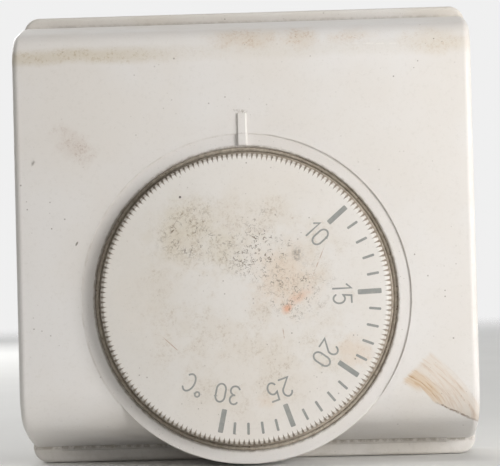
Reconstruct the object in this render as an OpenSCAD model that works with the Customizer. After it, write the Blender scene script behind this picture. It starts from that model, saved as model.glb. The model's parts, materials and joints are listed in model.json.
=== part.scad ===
// Room thermostat for a wall: a moulded plate that is screwed to the wall, a moulded front
// cover with a round collar, and a serrated dial that sets 10 to 30 degrees C.
// The dial turns a brass spindle in a threaded bush. The spindle moves a vapour capsule,
// the capsule rocks a lever, and the lever works a small snap switch.
// Each piece is drawn as seen on the wall: x to the right, y up, z out of the wall.
// place() then stands it up, so that the wall is the plane Y = 0 and the front faces -Y.

/* [Case] */
// Width of the wall plate and the cover
case_w = 84; // [78:0.5:92]
// Height of the wall plate
plate_h = 84.8; // [82:0.1:90]
// Height of the plate's rim above the wall, where the cover sits
rim_z = 15; // [15:0.5:20]
// Height of the cover's flat face above the wall
face_z = 33; // [32.5:0.25:38]
// Radius of the plate's corners
plate_corner = 3; // [1.5:0.25:5]
// Radius along the rim's front edge
rim_edge = 0.8; // [0.4:0.1:1.2]
// Wall thickness of the rim
rim_wall = 1.8; // [1.4:0.1:2.2]
// Thickness of the plate's floor
floor_t = 2.4; // [2:0.1:3]

/* [Cover] */
// Width of the plate's ledge that shows above the cover
top_ledge = 2; // [1.4:0.1:2.6]
// Width of the plate's ledge that shows below the cover
bottom_ledge = 3; // [2.2:0.1:3.8]
// Radius of the roll along the top of the face
top_roll = 6.5; // [4:0.25:8]
// Radius of the roll along the bottom of the face
bottom_roll = 8; // [5:0.25:9]
// Slope of the upper side at the rim, in degrees from the wall's normal
top_rim_slope = 6; // [3:0.5:9]
// Slope of the upper side where it meets the roll
top_shoulder_slope = 16; // [12:0.5:20]
// Slope of the lower side at the rim
bottom_rim_slope = 10; // [6:0.5:13]
// Slope of the lower side where it meets the roll
bottom_shoulder_slope = 22; // [17:0.5:26]
// Radius along the cover's left and right edges
side_edge = 1.3; // [0.6:0.1:2]
// Wall thickness of the cover
cover_wall = 2.1; // [1.6:0.1:2.6]
// Height of the air slits at the cover's upper and lower edges
slit_h = 0.8; // [0.4:0.1:1.2]
// Width of the air slits
slit_w = 73; // [50:1:74]

/* [Collar and index] */
// Distance of the dial's axis below the case centre
dial_drop = 12; // [11:0.1:12.4]
// Outer radius of the collar
collar_r = 30.1; // [29.9:0.1:30.2]
// Step of the collar's flat ring below the face
collar_step = 0.3; // [0.1:0.05:0.5]
// Radius of the well that the dial turns in
well_r = 27.65; // [27.4:0.05:28]
// Depth of the well below the collar's ring
well_depth = 4.1; // [3.6:0.1:4.4]
// Thickness of the well's floor
well_floor = 2; // [1.6:0.1:2.2]
// Width of the raised index bar
index_w = 1.9; // [1.4:0.1:2.4]
// Distance of the index bar's outer end from the dial's axis
index_reach = 33.8; // [32:0.05:36]
// Height of the index bar above the face
index_h = 0.4; // [0.3:0.05:0.8]

/* [Dial] */
// Tip radius of the dial's serrations
dial_r = 26.45; // [26:0.05:26.6]
// Depth of a serration
tooth_depth = 0.75; // [0.4:0.05:1]
// Number of serrations
teeth = 180; // [90:2:220]
// Radius of the plain foot under the serrations
skirt_r = 27.2; // [26.8:0.05:27.3]
// Depth of the foot's top below the collar's ring
skirt_drop = 0.6; // [0.3:0.05:1.2]
// Height of the dial's face above the collar's ring
dial_rise = 3.3; // [2.8:0.1:4]
// Thickness of the dial's face
dial_face = 1.8; // [1.5:0.1:2]
// Gap between the dial's skirt and the well's floor
dial_float = 0.7; // [0.5:0.05:0.9]
// Outer radius of the dial's hub
hub_r = 5.2; // [4.8:0.1:5.8]
// Turn of the dial from its lower stop to its upper stop, in degrees
dial_travel = 196; // [190:1:200]

/* [Wall fixing] */
// Distance between the two fixing slots, as on a single wall box
fix_spacing = 60.3; // [60.3:0.1:60.6]
// Width of a fixing slot
fix_w = 4.5; // [4:0.1:5]
// Length of a fixing slot, end to end
fix_len = 9; // [7:0.5:9.5]
// Width of the cable entry
entry_w = 30; // [24:0.5:30]
// Height of the cable entry
entry_h = 9; // [7:0.5:9]

/* [Mechanism] */
// Radius of the setting spindle's thread
spindle_r = 3; // [2.8:0.05:3.2]
// Pitch of the spindle's thread
spindle_pitch = 0.75; // [0.5:0.05:0.8]
// Radius of the capsule's rim
capsule_r = 14; // [12:0.25:14.5]
// Distance from the capsule's rim to its crown
capsule_bulge = 2.8; // [2.4:0.1:2.9]
// Thickness of the diaphragm sheet
sheet_t = 0.4; // [0.3:0.05:0.5]
// Thickness of the bridge's steel
bridge_t = 1.5; // [1.2:0.1:1.7]
// Width of the bridge strap
bridge_w = 12; // [11:0.5:13]
// Thickness of the lever
lever_t = 1; // [0.8:0.1:1.2]
// Distance of the lever's pin below the dial's axis
lever_arm = 18; // [17.5:0.25:18.5]
// Radius of the lever's pin
pin_r = 1; // [0.8:0.05:1.2]
// Wire radius of the return spring
spring_wire = 0.35; // [0.25:0.05:0.45]
// Turns of the return spring
spring_turns = 6; // [4:1:8]

/* [Switch and terminals] */
// Length of the switch case
switch_len = 23; // [23:0.25:23.5]
// Width of the switch case
switch_w = 11; // [10:0.25:12]
// Distance between neighbouring terminals
way_pitch = 11; // [10.5:0.1:11]
// Number of terminals
ways = 4; // [4:1:4]
// Radius of a terminal screw's thread
term_screw_r = 1.5; // [1.3:0.05:1.7]
// Radius of the anticipator's body
heater_r = 1.6; // [1.2:0.1:1.9]

/* [Fits] */
// Radial gap of a turning or sliding fit
run_gap = 0.05; // [0.02:0.01:0.08]
// Gap between two pieces that bear on each other through the works
touch_gap = 0.05; // [0.03:0.01:0.08]
// Gap between moulded pieces that locate each other
mould_gap = 0.3; // [0.2:0.05:0.4]

/* [Hidden] */

$fn = 64;
eps = 0.01;
roll_steps = 16; // flats along a roll
side_steps = 6; // flats along a side
reach = 100; // longer than any cut has to be

// --- heights above the wall, from the cover down to the plate ---
cover_top = plate_h / 2 - top_ledge;
cover_bottom = plate_h / 2 - bottom_ledge;
ring_z = face_z - collar_step;
well_z = ring_z - well_depth;
well_under = well_z - well_floor;
dial_top = ring_z + dial_rise;
dial_under = dial_top - dial_face;
skirt_z = well_z + dial_float;
skirt_wall = 1.4;
skirt_top = ring_z - skirt_drop;
skirt_bevel = 0.5; // taper round the foot's upper edge
axis_y = -dial_drop;
clip_h = 1.2;
clip_t = 0.7;
clip_mouth = 3.2;

// --- spindle, bush and bridge, hung below the well ---
nut_gap = 0.5;
nut_h = 2.2;
bridge_top = well_under - nut_gap - nut_h;
bridge_under = bridge_top - bridge_t;
bush_flange = 1;
bush_low = bridge_under - bush_flange;
bush_r = 4.5;
bush_flange_r = 6;
bush_rise = 0.8; // the bush stands this far above the well's underside
nut_across = 12;
window_w = 5; // width of the window in each of the bridge's legs
window_in = 4; // from the window's ends to the bridge's foot and top
spindle_low = bush_low - 0.4;
nose_r = 1.5;
nose_len = 1.6;
nose_z = spindle_low - nose_len;
spindle_step = well_under + 1.6;
flat_x = 2.2; // distance of the spindle's flat from its axis
spindle_top = dial_under - 0.65;
spindle_lift = spindle_pitch * dial_travel / 360;

// --- capsule and lever, stacked below the spindle's nose ---
stud_r = 2.6;
stud_h = 1.8;
stud_bore = 1.2;
stud_z = nose_z - touch_gap - (stud_h - stud_bore);
rim_plane = stud_z - capsule_bulge;
capsule_low = rim_plane - capsule_bulge;
button_h = 1.5;
button_r = 2.2;
lever_top = capsule_low - button_h - touch_gap;
lever_under = lever_top - lever_t;
pin_y = axis_y - lever_arm;
pin_z = lever_under - 0.6;
lever_w = 10;
lever_tail_w = 6;
ear_t = 1;
ear_r = 2.2;
post_t = 2.6;
post_w = 6;
post_x = lever_w / 2 + 1.2;
calib_r = 1;
spring_y = -4.5;
spring_r = 3;
spigot_h = 1.5;
spigot_gap = 0.25; // between the plate's spigot and the spring's inside
spring_steps = 14; // rings to a turn
spring_dead = 0.8; // turns that lie flat at each end
spring_slope = 0.02; // keeps the flat end turns from lying in one plane

// --- switch: its plunger stands on the case's centre line, under the lever's tail ---
switch_y = 9;
switch_x0 = -14;
switch_x1 = switch_x0 + switch_len;
switch_wall = 1;
tip_z = lever_under - 0.35; // the calibration screw's tip
plunger_top = tip_z - touch_gap;
lid_t = 0.8;
lid_z = plunger_top - 0.8 - lid_t;
plunger_r = 1.2;
blade_x = -11; // the blade's bending line
blade_z = 5.15;
blade_t = 0.25;
blade_w = 3.6;
blade_end = 6;
contact_x = 4.5;
contact_r = 1.3;
contact_t = 0.4;
carrier_t = 0.6;
carrier_z = lid_z - 0.1 - carrier_t;
stop_z = blade_z - contact_t - touch_gap;
rivet_r = 0.8;
lever_gain = (switch_y - pin_y) / lever_arm;
blade_swing = atan(lever_gain * spindle_lift / -blade_x); // the blade's whole swing
made_z = blade_z + blade_t + contact_t + (contact_x + contact_r - blade_x) * tan(blade_swing);
ear_h = 1.6;
ear_base = 4.4;
switch_ear_r = 2.2;
switch_ears = [[switch_x0 - 2.3, switch_y - 4], [switch_x1 + 2.3, switch_y + 3.5]];
small_screw_r = 0.8;
switch_tip_z = 1.8; // height of the switch screws' tips above the wall
carrier_in = 1.6; // the fixed contact's carrier goes this far past the contact's axis
carrier_out = 3; // and this far out of the switch case

// --- terminals along the plate's upper edge ---
block_h = 10;
block_d = 11;
block_w = way_pitch * ways + 2;
block_gap = 0.7; // between the terminal block and the rim
block_y1 = plate_h / 2 - rim_wall - block_gap;
block_y0 = block_y1 - block_d;
block_floor = 1.5;
block_peg_x = block_w / 2 + 2.6;
block_ear_w = 5.2;
block_ear_out = 2.2;
block_ear_h = 3;
peg_r = 1.2;
peg_h = 4;
clamp_w = 7.6;
clamp_d = 8;
clamp_h = 7;
clamp_z = floor_t + block_floor;
clamp_y = block_y0 + 0.4 + clamp_d / 2;
mouth_w = 4.4;
mouth_h = 3.6;
mouth_z = clamp_z + 1;
strip_t = 0.6;
strip_w = 2.6;
tongue_z = mouth_z + touch_gap;
link_gap = 1; // between the links and the cable entry or the switch case
term_tip = mouth_z + mouth_h - 0.4;

// --- anticipator, a small heater beside the capsule ---
heater_y = 2.5;
heater_x0 = 13;
heater_x1 = 20;
lead_r = 0.35;
heater_z = carrier_z - lead_r - touch_gap;
lead_x = 23;
heater_post_t = 1;
heater_post_w = 2.4;
heater_post_gap = 0.4;
heater_post_rise = 0.8;

// --- fixings ---
boss_r = 3.4;
bridge_span = 22; // half the bridge's width over its legs
foot_out = 3.5; // from the bridge's leg out to its screw
foot_x = bridge_span + foot_out;
foot_z = 7;
foot_screw_r = 1.2;
cover_screw_x = 16;
cover_screw_drop = 11; // the cover screw's distance below the dial's axis
cover_screw_pos = [cover_screw_x, axis_y - cover_screw_drop];
cover_screw_r = 1.5;
cover_screw_low = rim_z + 1;
cover_hole_spare = 5; // the pillar's hole goes this far past the screw's tip
cover_head_r = 3;
cover_head_h = 2;
pillar_r = 3.5;
pillar_gap = 2.7; // from the pillar up to the well's underside
pillar_top = well_under - pillar_gap;
pillar_rib_top = 9;
entry_y = 21;
pad_land = 2; // flat land round a fixing slot
pad_h = 0.8;
rib_t = 1;
rib_out = 1.2;
bite = 0.5; // how far a joined solid runs into its neighbour
screw_head = 2.1; // a pan head's radius for each unit of its thread's radius
screw_head_h = 1.4;
screw_slot = 0.3; // half the width of a screw's slot

// --- the cover's seat on the plate: catches, hooks, shelves and lips ---
hook_x = 30;
hook_w = 6;
hook_t = 1.3;
hook_h = 4;
nib_t = 1;
catch_w = 8;
catch_t = 1.1;
catch_d = 0.9;
catch_z = rim_z - 1 - catch_t;
lip_len = 56;
lip_t = 1.2;
lip_low = 1.5; // the side lips reach this far into the plate
lip_top = 3;
shelf_t = 1.6;
shelf_short = 0.5; // a shelf ends this far short of the cover wall's inner face
groove_in = 0.5; // from the cover's edge to the fine groove in the ledge
groove_w = 0.2;
groove_d = 0.4;

// --- the dial's stops ---
range_r = 11;
range_pin_r = 1;
hole_step = 15;
pins_apart = 9 * hole_step;
stop_angle = 215;
lug_w = 3.2;
range_half = 1.9; // half the width of the dial's ring of holes
stop_offset = (360 - dial_travel - pins_apart) / 2;
lug_half = range_r * sin(stop_offset) - range_pin_r - touch_gap;
lug_h = 2;
range_ring_z = well_z + lug_h + 0.4;

function way_x(i) = (i - (ways + 1) / 2) * way_pitch;

// ---------------------------------------------------------------- helpers

module place() rotate([90, 0, 0]) children();

module at(x, y, z) translate([x, y, z]) children();

// A box by its two opposite corners
module block(a, b) translate(a) cube(b - a);

// A disc or a hole standing on z
module rod(x, y, z0, z1, r) translate([x, y, z0]) cylinder(r = r, h = z1 - z0);

// A rectangle with round corners, centred
module round_rect(w, h, r) {
    square([w - 2 * r, h], center = true);
    square([w, h - 2 * r], center = true);
    for (sx = [-1, 1], sy = [-1, 1]) translate([sx * (w / 2 - r), sy * (h / 2 - r)]) circle(r = r);
}

// A slot's outline along x, with round ends
module slot_shape(len, w) {
    square([len - w, w], center = true);
    for (s = [-1, 1]) translate([s * (len - w) / 2, 0]) circle(d = w);
}

// A slab with round corners, whose front edge has the radius e
module soft_slab(w, h, r, z0, z1, e) {
    translate([0, 0, z0]) linear_extrude(z1 - e - z0) round_rect(w, h, r);
    translate([0, 0, z0]) linear_extrude(z1 - z0) round_rect(w - 2 * e, h - 2 * e, r - e);
    for (s = [-1, 1]) {
        translate([s * (w / 2 - e), 0, z1 - e]) rotate([90, 0, 0])
            cylinder(r = e, h = h - 2 * r, center = true);
        translate([0, s * (h / 2 - e), z1 - e]) rotate([0, 90, 0])
            cylinder(r = e, h = w - 2 * r, center = true);
    }
    for (sx = [-1, 1], sy = [-1, 1]) translate([sx * (w / 2 - r), sy * (h / 2 - r), z1 - e])
        rotate_extrude() translate([r - e, 0]) circle(r = e);
}

// Lays a shape drawn in (y, z) across the case
module across() rotate([90, 0, 90]) children();

// Lays a shape drawn in (z, x) along y
module upward() rotate([0, -90, -90]) children();

// ---------------------------------------------------------------- wall plate

module wall_plate() color("#d9d6cb") place() difference() {
    union() {
        difference() {
            soft_slab(case_w, plate_h, plate_corner, 0, rim_z, rim_edge);
            translate([0, 0, floor_t]) linear_extrude(reach)
                round_rect(case_w - 2 * rim_wall, plate_h - 2 * rim_wall, plate_corner - rim_wall);
        }
        plate_bosses();
        plate_catches();
        plate_shelf();
    }
    for (s = [-1, 1]) translate([s * fix_spacing / 2, 0, -1]) linear_extrude(reach)
        slot_shape(fix_len, fix_w);
    translate([0, entry_y, -1]) linear_extrude(reach) round_rect(entry_w, entry_h, 2);
    // blind holes for the screws, and the bores that hold the lever's pin
    for (s = [-1, 1]) rod(s * foot_x, axis_y, floor_t, reach, foot_screw_r + run_gap);
    rod(cover_screw_pos[0], cover_screw_pos[1], cover_screw_low - cover_hole_spare, reach,
        cover_screw_r + run_gap);
    for (p = switch_ears) rod(p[0], p[1], switch_tip_z - 0.4, reach, small_screw_r + run_gap);
    translate([0, pin_y, pin_z]) rotate([0, 90, 0])
        cylinder(r = pin_r + run_gap, h = 2 * (post_x + post_t + bite), center = true);
    // notches in the anticipator's two posts
    block([0, heater_y - lead_r - run_gap, heater_z - lead_r - run_gap],
        [lead_x, heater_y + lead_r + run_gap, heater_z + heater_post_rise + 1]);
    plate_back_pockets();
    // fine groove in the lower ledge, just below the cover's edge
    block([-slit_w / 2, -cover_bottom - groove_in - groove_w, rim_z - groove_d],
        [slit_w / 2, -cover_bottom - groove_in, rim_z + 1]);
}

module plate_bosses() {
    for (s = [-1, 1]) {
        // pads round the fixing slots, feet of the bridge and posts of the lever's pin
        translate([s * fix_spacing / 2, 0, floor_t / 2]) linear_extrude(floor_t / 2 + pad_h)
            round_rect(fix_len + 2 * pad_land, fix_w + 2 * pad_land, 1.5);
        rod(s * foot_x, axis_y, floor_t / 2, foot_z, boss_r);
        lever_post(s);
        rod(s * block_peg_x, block_y0 + block_d / 2, floor_t / 2, floor_t + peg_h, peg_r);
    }
    rod(cover_screw_pos[0], cover_screw_pos[1], floor_t / 2, pillar_top, pillar_r);
    // ribs that stiffen the cover screw's pillar
    for (a = [0, 90]) translate([cover_screw_pos[0], cover_screw_pos[1], 0]) rotate([0, 0, a])
        block([-pillar_r - rib_out, -rib_t / 2, floor_t / 2],
            [pillar_r + rib_out, rib_t / 2, pillar_rib_top]);
    rod(0, spring_y, floor_t / 2, floor_t + spigot_h, spring_r - spring_wire - spigot_gap);
    for (p = switch_ears) rod(p[0], p[1], floor_t / 2, ear_base, switch_ear_r);
    for (x = [heater_x0 - heater_post_gap - heater_post_t, heater_x1 + heater_post_gap])
        block([x, heater_y - heater_post_w / 2, floor_t / 2],
            [x + heater_post_t, heater_y + heater_post_w / 2, heater_z + heater_post_rise]);
}

// One of the two posts that carry the lever's pin
module lever_post(s) {
    x0 = s > 0 ? post_x : -post_x - post_t;
    block([x0, pin_y - post_w / 2, floor_t / 2], [x0 + post_t, pin_y + post_w / 2, pin_z]);
    translate([x0, pin_y, pin_z]) rotate([0, 90, 0]) cylinder(r = post_w / 2, h = post_t);
}

// Two catches inside the rim, which the cover's hooks snap under
module plate_catches() for (s = [-1, 1])
    block([s * hook_x - catch_w / 2, plate_h / 2 - rim_wall - catch_d, catch_z],
        [s * hook_x + catch_w / 2, plate_h / 2 - rim_wall + bite, catch_z + catch_t]);

// Shelves inside the rim that carry the cover's upper and lower edges, notched for the hooks
module plate_shelf() {
    side = case_w / 2 - rim_wall + bite;
    outer = plate_h / 2 - rim_wall + bite;
    block([-side, -outer, rim_z - shelf_t], [side, -cover_bottom + cover_wall - shelf_short, rim_z]);
    difference() {
        block([-side, cover_top - cover_wall + shelf_short, rim_z - shelf_t], [side, outer, rim_z]);
        for (s = [-1, 1]) block([s * hook_x - catch_w / 2, 0, 0],
            [s * hook_x + catch_w / 2, plate_h / 2 - rim_wall - catch_d + bite / 2, reach]);
    }
}

// Shallow pockets in the back, which leave a flat land round the edge and the slots
module plate_back_pockets() {
    land = 5;
    pocket_w = (case_w - 2 * land) / 3;
    pocket_h = 26;
    pocket_d = 0.7;
    for (x = [-1, 0, 1]) translate([x * pocket_w, land + (pocket_h - plate_h) / 2, -1])
        linear_extrude(1 + pocket_d) round_rect(pocket_w - 2, pocket_h, 2);
}

// ---------------------------------------------------------------- front cover

// The second, larger radius that joins a side's roll to its edge at the rim
function side_radius(roll, shoulder, slope) =
    (face_z - rim_z - roll * (1 - sin(shoulder))) / (sin(shoulder) - sin(slope));

// How far inward from the edge the roll's centre lies
function roll_inset(roll, shoulder, slope) =
    side_radius(roll, shoulder, slope) * (cos(slope) - cos(shoulder)) + roll * cos(shoulder);

// Half of the cover's outline in (y, z), drawn inset by t, from the face down to the rim
function half_outline(edge, roll, shoulder, slope, t, dir) =
    let (big = side_radius(roll, shoulder, slope),
        yc = edge - roll_inset(roll, shoulder, slope),
        zc = face_z - roll,
        y2 = yc - (big - roll) * cos(shoulder),
        z2 = zc - (big - roll) * sin(shoulder))
    concat(
        [for (i = [0 : roll_steps]) let (a = 90 - (90 - shoulder) * i / roll_steps)
            [dir * (yc + (roll - t) * cos(a)), zc + (roll - t) * sin(a)]],
        [for (i = [1 : side_steps]) let (a = shoulder - (shoulder - slope) * i / side_steps)
            [dir * (y2 + (big - t) * cos(a)), z2 + (big - t) * sin(a)]]);

function reversed(v) = [for (i = [len(v) - 1 : -1 : 0]) v[i]];

function cover_outline(t) = concat(
    half_outline(cover_top, top_roll, top_shoulder_slope, top_rim_slope, t, 1),
    [[cover_top - t, rim_z - 1], [-cover_bottom + t, rim_z - 1]],
    reversed(half_outline(cover_bottom, bottom_roll, bottom_shoulder_slope,
        bottom_rim_slope, t, -1)));

// The outer form: the outline run across the case, stepped in round both side edges
module cover_body() across() hull() for (a = [0 : 15 : 90])
    linear_extrude(case_w - 2 * side_edge * (1 - sin(a)), center = true)
        polygon(cover_outline(side_edge * (1 - cos(a))));

// The collar, with a small radius round its front edge
module collar() at(0, axis_y, 0) rotate_extrude() {
    e = 0.3;
    translate([0, rim_z]) square([collar_r, ring_z - e - rim_z]);
    translate([0, rim_z]) square([collar_r - e, ring_z - rim_z]);
    translate([collar_r - e, ring_z - e]) circle(r = e);
}

// The dial's well, with a soft lip where it meets the collar's ring
module well() at(0, axis_y, 0) {
    rod(0, 0, well_z, reach, well_r);
    lip = 0.35;
    rotate_extrude() difference() {
        translate([well_r - 1, ring_z - lip]) square([1 + lip, reach]);
        translate([well_r + lip, ring_z - lip]) circle(r = lip);
    }
}

// The room inside the cover, which leaves the well standing in it
module cover_room() difference() {
    union() {
        across() linear_extrude(case_w - 2 * cover_wall, center = true)
            polygon(cover_outline(cover_wall));
        rod(0, axis_y, rim_z - 1, well_under, collar_r - cover_wall);
    }
    rod(0, axis_y, well_under, reach, collar_r);
    rod(cover_screw_pos[0], cover_screw_pos[1], pillar_top + 0.1, reach, pillar_r + 0.8);
}

// The raised bar that points at the set temperature
module index_bar() {
    w = index_w / 2;
    top = face_z + index_h;
    at(0, axis_y + well_r - 1, 0) upward() linear_extrude(index_reach - well_r + 1) polygon([
        [ring_z - 0.5, -w], [top - 0.3, -w + 0.1], [top, -w + 0.3],
        [top, w - 0.3], [top - 0.3, w - 0.1], [ring_z - 0.5, w]]);
}

module cover_slits() {
    block([-slit_w / 2, cover_top - cover_wall - 2, rim_z - 1],
        [slit_w / 2, cover_top + 1, rim_z + slit_h]);
    inner_end = sqrt(pow(collar_r, 2) - pow(cover_bottom - dial_drop, 2)) + 3;
    for (s = [0, 1]) mirror([s, 0, 0])
        block([inner_end, -cover_bottom - 1, rim_z - 1],
            [slit_w / 2, -cover_bottom + cover_wall + 2, rim_z + slit_h]);
}

// Hooks that snap under the plate's catches, and lips that locate the cover sideways
module cover_hooks() {
    inner = plate_h / 2 - rim_wall - catch_d - mould_gap;
    for (s = [-1, 1]) {
        at(s * hook_x, 0, 0) {
            block([-hook_w / 2, inner - hook_t, rim_z - hook_h], [hook_w / 2, inner, rim_z + hook_h]);
            block([-hook_w / 2, inner - bite, catch_z - mould_gap - nib_t],
                [hook_w / 2, inner + catch_d, catch_z - mould_gap]);
        }
        x = case_w / 2 - cover_wall;
        lip_x = min(x, case_w / 2 - rim_wall - mould_gap);
        mirror([s > 0 ? 0 : 1, 0, 0]) {
            block([lip_x - lip_t, -lip_len / 2, rim_z - lip_low], [lip_x, lip_len / 2, rim_z + lip_top]);
            block([lip_x - bite, -lip_len / 2, rim_z + bite], [x + bite, lip_len / 2, rim_z + lip_top]);
        }
    }
}

// Thin ribs inside the face, and the block that stops the dial's range pins
module cover_ribs() {
    rib_low = face_z - cover_wall - 1.5;
    for (x = [-24 : 16 : 24]) block([x - rib_t / 2, axis_y + collar_r + 1, rib_low],
        [x + rib_t / 2, cover_top - top_roll - 1.5, face_z - cover_wall + bite]);
}

module range_stop() at(0, axis_y, 0) rotate([0, 0, stop_angle])
    block([range_r - lug_w / 2, -lug_half, well_z - bite], [range_r + lug_w / 2, lug_half, well_z + lug_h]);

module front_cover() color("#ebe8e0") place() difference() {
    union() {
        difference() {
            union() {
                cover_body();
                collar();
            }
            block([-reach, -reach, rim_z - reach], [reach, reach, rim_z]);
            cover_room();
            rod(0, axis_y, ring_z, reach, collar_r);
            cover_slits();
        }
        cover_hooks();
        cover_ribs();
        intersection() {
            index_bar();
            rod(0, axis_y, 0, reach, index_reach);
        }
        difference() {
            rod(0, axis_y, well_under, ring_z - 1, collar_r - 0.5);
            well();
        }
        range_stop();
    }
    difference() {
        well();
        range_stop();
    }
    rod(0, axis_y, well_under - 1, well_z + 1, bush_flange_r);
    rod(cover_screw_pos[0], cover_screw_pos[1], pillar_top - 1, well_z + 1, cover_screw_r + 0.4);
}

module cover_screw() color("#b8b8b4") place() at(cover_screw_pos[0], cover_screw_pos[1], 0) {
    head_top = well_z + cover_head_h;
    difference() {
        union() {
            rod(0, 0, cover_screw_low, well_z + bite, cover_screw_r);
            rod(0, 0, well_z, head_top, cover_head_r);
        }
        for (a = [0, 90]) rotate([0, 0, a])
            block([-cover_head_r * 2 / 3, -screw_slot, head_top - cover_head_h / 2],
                [cover_head_r * 2 / 3, screw_slot, head_top + 1]);
    }
}

// ---------------------------------------------------------------- dial

// The serrated outline: narrow notches between broad ribs
function tooth_outline(tip, root) = [for (i = [0 : teeth - 1], k = [0 : 2])
    let (a = (i + [0, 0.3, 0.7][k]) * 360 / teeth, r = k == 0 ? root : tip)
        [r * cos(a), r * sin(a)]];

// The dial is a shallow cup: a face, a serrated rim over a plain foot, and a hub that grips
// the spindle
module dial() color("#e6e1d6") place() at(0, axis_y, 0) difference() {
    union() {
        difference() {
            union() {
                intersection() {
                    at(0, 0, skirt_top - bite) linear_extrude(dial_top - skirt_top + bite)
                        polygon(tooth_outline(dial_r, dial_r - tooth_depth));
                    dial_envelope();
                }
                rod(0, 0, skirt_z, skirt_top - skirt_bevel, skirt_r);
                at(0, 0, skirt_top - skirt_bevel)
                    cylinder(r1 = skirt_r, r2 = skirt_r - skirt_bevel, h = skirt_bevel);
            }
            rod(0, 0, skirt_z - 1, dial_under, dial_r - tooth_depth - skirt_wall);
        }
        rod(0, 0, skirt_z - 0.4, dial_under + eps, hub_r);
        difference() {
            rod(0, 0, range_ring_z, dial_under + eps, range_r + range_half);
            rod(0, 0, skirt_z, dial_under - eps, range_r - range_half);
        }
        for (a = [0 : 60 : 300]) rotate([0, 0, a])
            block([hub_r - bite, -rib_t / 2, range_ring_z],
                [dial_r - tooth_depth - skirt_wall + bite, rib_t / 2, dial_under + eps]);
    }
    difference() {
        rod(0, 0, 0, dial_under - 0.1, spindle_r - 0.1 + run_gap);
        block([flat_x + run_gap, -reach, skirt_z - 1], [reach, reach, reach]);
    }
    for (i = [0 : 360 / hole_step - 1]) rotate([0, 0, stop_angle + stop_offset + i * hole_step])
        rod(range_r, 0, 0, dial_under - 0.4, range_pin_r + run_gap);
}

// Limits the serrations: slightly drafted, with a soft edge round the face
module dial_envelope() rotate_extrude() polygon([
    [0, skirt_z - 1], [dial_r + 0.02, skirt_z - 1], [dial_r - 0.12, dial_top - 0.55],
    [dial_r - 0.3, dial_top - 0.22], [dial_r - 0.62, dial_top - 0.05],
    [dial_r - 0.95, dial_top], [0, dial_top]]);

module range_pins() color("#c9b46a") place() at(0, axis_y, 0)
    for (a = [stop_angle + stop_offset, stop_angle + stop_offset + pins_apart]) rotate([0, 0, a])
        rod(range_r, 0, well_z + 1, dial_under - 0.7, range_pin_r);

module hub_clip() color("#9a9c9e") place() at(0, axis_y, 0) difference() {
    rod(0, 0, skirt_z, skirt_z + clip_h, hub_r + run_gap + clip_t);
    rod(0, 0, skirt_z - 1, skirt_z + clip_h + 1, hub_r + run_gap);
    block([0, -clip_mouth / 2, skirt_z - 1], [reach, clip_mouth / 2, skirt_z + clip_h + 1]);
}

// ---------------------------------------------------------------- bridge and spindle

module frame_bridge() color("#a9adb0") place() difference() {
    at(0, axis_y, 0) rotate([90, 0, 0]) linear_extrude(bridge_w, center = true) bridge_profile();
    rod(0, axis_y, 0, reach, bush_r + run_gap);
    for (s = [-1, 1]) {
        rod(s * foot_x, axis_y, 0, foot_z + bridge_t + 1, foot_screw_r + 0.15);
        // windows in the legs let room air reach the capsule
        block([s * bridge_span - foot_out, axis_y - window_w / 2, foot_z + window_in],
            [s * bridge_span + foot_out, axis_y + window_w / 2, bridge_under - window_in]);
    }
}

// The strap bent over the capsule, drawn in (x, z)
module bridge_profile() {
    bend = bridge_t + 1;
    difference() {
        union() {
            translate([-bridge_span + bend, foot_z]) square([2 * (bridge_span - bend), bridge_top - foot_z]);
            translate([-bridge_span, foot_z]) square([2 * bridge_span, bridge_top - bend - foot_z]);
            for (s = [-1, 1]) translate([s * (bridge_span - bend), bridge_top - bend]) circle(r = bend);
        }
        inner = bridge_span - bridge_t;
        translate([-inner + 1, 0]) square([2 * (inner - 1), bridge_under]);
        translate([-inner, 0]) square([2 * inner, bridge_under - 1]);
        for (s = [-1, 1]) translate([s * (inner - 1), bridge_under - 1]) circle(r = 1);
    }
    for (s = [-1, 1]) translate([s > 0 ? bridge_span - bridge_t : -foot_x - boss_r, foot_z])
        square([foot_x + boss_r - bridge_span + bridge_t, bridge_t]);
}

// A pan-head screw pointing into the plate, slotted
module pan_screw(x, y, z_tip, z_seat, r) at(x, y, 0) difference() {
    head_r = r * screw_head;
    z_top = z_seat + r * screw_head_h;
    union() {
        rod(0, 0, z_tip, z_seat + eps, r);
        rod(0, 0, z_seat, z_top, head_r);
    }
    block([-head_r, -screw_slot, (z_seat + z_top) / 2], [head_r, screw_slot, z_top + 1]);
}

module bridge_screws() color("#b8b8b4") place() for (s = [-1, 1])
    pan_screw(s * foot_x, axis_y, floor_t + 0.5, foot_z + bridge_t, foot_screw_r);

module spindle_bush() color("#c9a94e") place() at(0, axis_y, 0) difference() {
    union() {
        rod(0, 0, bush_low, bridge_under, bush_flange_r);
        rod(0, 0, bush_low, well_under + bush_rise, bush_r);
    }
    rod(0, 0, 0, reach, spindle_r + run_gap);
}

module bush_nut() color("#b89a45") place() at(0, axis_y, bridge_top) difference() {
    linear_extrude(nut_h) circle(d = nut_across / cos(30), $fn = 6);
    rod(0, 0, -1, nut_h + 1, bush_r + run_gap);
}

module setting_spindle() color("#cfae55") place() at(0, axis_y, 0) {
    rod(0, 0, nose_z, spindle_low + 0.5, nose_r);
    rod(0, 0, spindle_low, spindle_step, spindle_r);
    difference() {
        rod(0, 0, spindle_step - 0.5, spindle_top, spindle_r - 0.1);
        block([flat_x, -reach, spindle_step], [reach, reach, reach]);
    }
}

// ---------------------------------------------------------------- capsule

// Height of the diaphragm above the rim's plane: flat crown, two ripples, flat rim
function sheet_height(r) = let (crown = stud_r + 1.2, rim = capsule_r - 1.4)
    r <= crown ? capsule_bulge - sheet_t
    : r >= rim ? 0
    : let (u = (r - crown) / (rim - crown))
        (capsule_bulge - sheet_t) * (1 - u) * (1 + 0.28 * sin(u * 720));

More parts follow.
